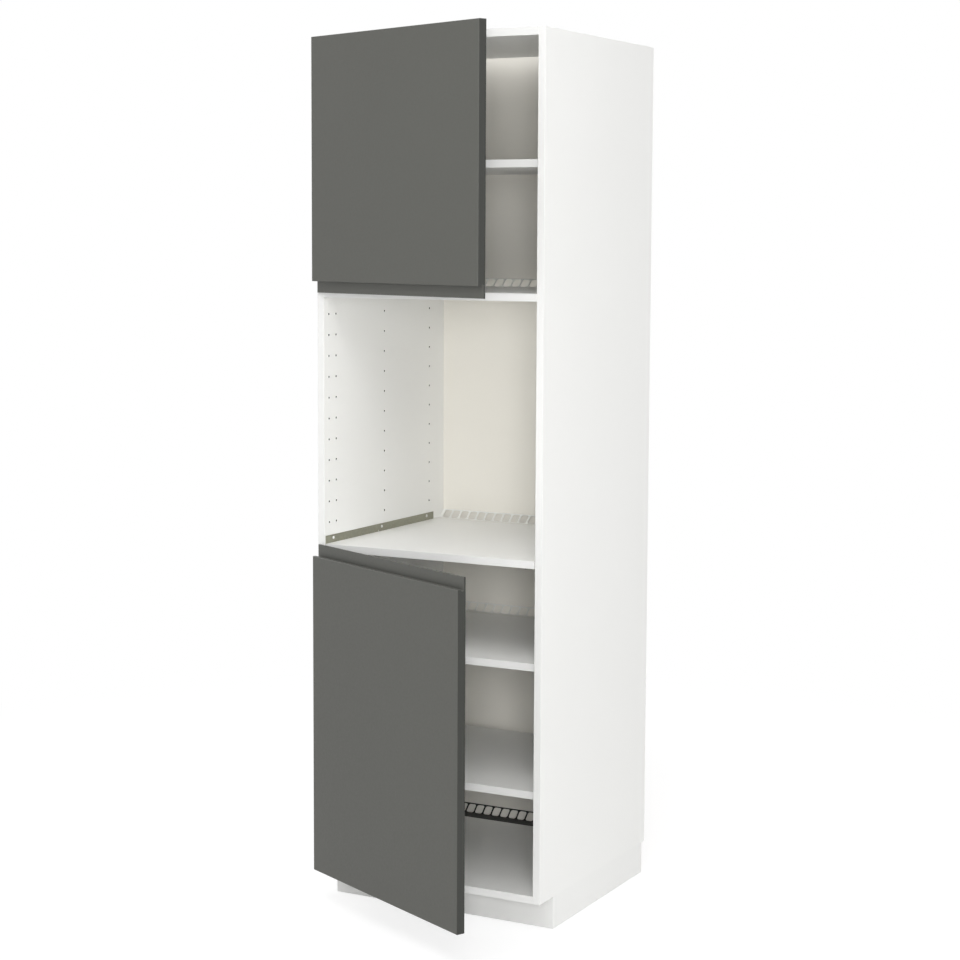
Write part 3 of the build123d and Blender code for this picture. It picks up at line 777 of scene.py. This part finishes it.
def makeShelfPins():
    middle = (0, 0, shelfPins["length"] / 2 - shelfPins["sunk"])
    pin = startRod("shelfPin", shelfPins["radius"], shelfPins["length"], middle, shelfPins["sides"])
    roundEdges(pin, shelfPins["arris"])
    smoothShading(pin)
    pins = []
    for side in (-1, 1):
        for column in pinColumns:
            for level in shelfPins["levels"]:
                pins.append(copyTo(pin, facing((side * shelfPins["wallX"], column, level), (-side, 0, 0))))
    bpy.data.objects.remove(pin)
    joinFor("shelf_pins", "roundShelfPins", pins)


for step in (makeBoards, makeSides, makeVents, makeRails, makeRailScrews, makeHingeScrews, makeLegs,
             makeEased, makeShelfPins):
    step()
    print(step.__name__, "done")


# rays that show the studio as it looks: from the camera, off a glossy surface or through glass
def showingRays(tree):
    ray = addNode(tree, "ShaderNodeLightPath")
    either = addNode(tree, "ShaderNodeMath", operation="MAXIMUM")
    every = addNode(tree, "ShaderNodeMath", operation="MAXIMUM")
    tree.links.new(ray.outputs["Is Camera Ray"], either.inputs[0])
    tree.links.new(ray.outputs["Is Glossy Ray"], either.inputs[1])
    tree.links.new(either.outputs[0], every.inputs[0])
    tree.links.new(ray.outputs["Is Transmission Ray"], every.inputs[1])
    return every.outputs[0]


def mixShaders(tree, share, first, second):
    made = addNode(tree, "ShaderNodeMixShader")
    for socket, source in enumerate((share, first, second)):
        tree.links.new(source, made.inputs[socket])
    return made.outputs[0]


# stage: pale floor that keeps the shadow near the cabinet and fades to white further off
stageFloor = {"size": 60.0, "bounce": (0.8, 0.8, 0.795, 1), "shade": (0.34, 0.34, 0.34, 1), "glow": 0.74,
              "farGlow": 1.0, "fade": {"From Min": 1.2, "From Max": 2.6}}


def makeStage():
    bpy.ops.object.select_all(action="DESELECT")
    bpy.ops.mesh.primitive_plane_add(size=stageFloor["size"], location=(0, 0, 0))
    floor = bpy.context.object
    floor.name = "studioFloor"
    material, tree, shader, spot = newMaterial("paleFloor")
    tree.nodes.remove(shader)
    link = tree.links.new
    matt = addNode(tree, "ShaderNodeBsdfDiffuse", {"Color": stageFloor["bounce"]})
    soft = addNode(tree, "ShaderNodeBsdfDiffuse", {"Color": stageFloor["shade"]})
    glow = addNode(tree, "ShaderNodeEmission", {"Color": white, "Strength": stageFloor["glow"]})
    far = addNode(tree, "ShaderNodeEmission", {"Color": white, "Strength": stageFloor["farGlow"]})
    reach = addNode(tree, "ShaderNodeVectorMath", operation="LENGTH")
    fade = addNode(tree, "ShaderNodeMapRange", stageFloor["fade"], interpolation_type="SMOOTHSTEP")
    near = addNode(tree, "ShaderNodeAddShader")
    link(soft.outputs[0], near.inputs[0])
    link(glow.outputs[0], near.inputs[1])
    link(spot["Object"], reach.inputs[0])
    link(reach.outputs["Value"], fade.inputs["Value"])
    seen = mixShaders(tree, fade.outputs["Result"], near.outputs[0], far.outputs[0])
    mixed = mixShaders(tree, showingRays(tree), matt.outputs[0], seen)
    link(mixed, tree.nodes["Material Output"].inputs["Surface"])
    floor.data.materials.append(material)


# surround: white where it shows, dimmer as a light
surround = {"light": 0.36, "shown": 1.0}


def makeSurround():
    world = bpy.data.worlds.new("studioSurround")
    scene.world = world
    world.use_nodes = True
    tree = world.node_tree
    plain = tree.nodes["Background"]
    plain.inputs["Color"].default_value = white
    plain.inputs["Strength"].default_value = surround["light"]
    shown = addNode(tree, "ShaderNodeBackground", {"Color": white, "Strength": surround["shown"]})
    mixed = mixShaders(tree, showingRays(tree), plain.outputs[0], shown.outputs[0])
    tree.links.new(mixed, tree.nodes["World Output"].inputs["Surface"])


lamps = {
    "cameraSoftbox": {"at": (2.45, -4.6, 1.8), "to": (0, 0, 1.0), "size": (1.0, 1.0), "power": 68.0},
    "lowSoftbox": {"at": (2.7, -4.7, 0.7), "to": (0, 0, 0.6), "size": (1.0, 1.0), "power": 38.0},
    "risingSoftbox": {"at": (2.45, -3.8, 3.6), "to": (0, 0, 1.0), "size": (1.8, 1.8), "power": 42.0},
    "highSoftbox": {"at": (0.6, -3.0, 5.2), "to": (0, 0, 1.0), "size": (3.0, 3.0), "power": 94.0},
    "sideSoftbox": {"at": (4.2, -1.6, 2.6), "to": (0, 0, 1.0), "size": (2.4, 2.4), "power": 36.0},
    "leftSoftbox": {"at": (-4.5, 1.6, 2.2), "to": (0, 0, 1.0), "size": (2.4, 2.4), "power": 56.0},
    "rearSoftbox": {"at": (-1.2, 4.9, 2.2), "to": (0, 0, 1.0), "size": (2.4, 2.4), "power": 70.0},
}


def makeLamps():
    for name, values in lamps.items():
        data = bpy.data.lights.new(name, "AREA")
        data.shape = "RECTANGLE"
        data.size, data.size_y = values["size"]
        data.energy = values["power"]
        lamp = bpy.data.objects.new(name, data)
        scene.collection.objects.link(lamp)
        lamp.location = values["at"]
        aim = Vector(values["to"]) - Vector(values["at"])
        lamp.rotation_euler = aim.to_track_quat("-Z", "Y").to_euler()


# camera: focal length, centre and frame in pixels, sensor in millimetres, place in metres, angles in degrees
camera = {"focal": 2117.4, "azimuth": 28.173, "elevation": 5.634, "roll": 0.239, "sensor": 36.0,
          "at": (2.4107, -4.5652, 1.6185), "centre": (475.0, 444.0), "frame": 960.0}


def makeCamera():
    data = bpy.data.cameras.new("photoCamera")
    data.sensor_width = camera["sensor"]
    data.lens = camera["focal"] * data.sensor_width / camera["frame"]
    data.shift_x = (camera["frame"] / 2 - camera["centre"][0]) / camera["frame"]
    data.shift_y = (camera["centre"][1] - camera["frame"] / 2) / camera["frame"]
    turn, rise, roll = (math.radians(camera[key]) for key in ("azimuth", "elevation", "roll"))
    back = Vector((math.sin(turn) * math.cos(rise), -math.cos(turn) * math.cos(rise), math.sin(rise)))
    right = Vector((0, 0, 1)).cross(back).normalized()
    up = back.cross(right)
    tiltedRight = right * math.cos(roll) + up * math.sin(roll)
    tiltedUp = up * math.cos(roll) - right * math.sin(roll)
    view = bpy.data.objects.new("photoCamera", data)
    scene.collection.objects.link(view)
    turned = Matrix((tiltedRight, tiltedUp, back)).transposed().to_4x4()
    view.matrix_world = Matrix.Translation(camera["at"]) @ turned
    scene.camera = view


makeStage()
makeSurround()
makeLamps()
makeCamera()
scene.view_settings.view_transform = "Standard"
print("stage, lamps and camera set")
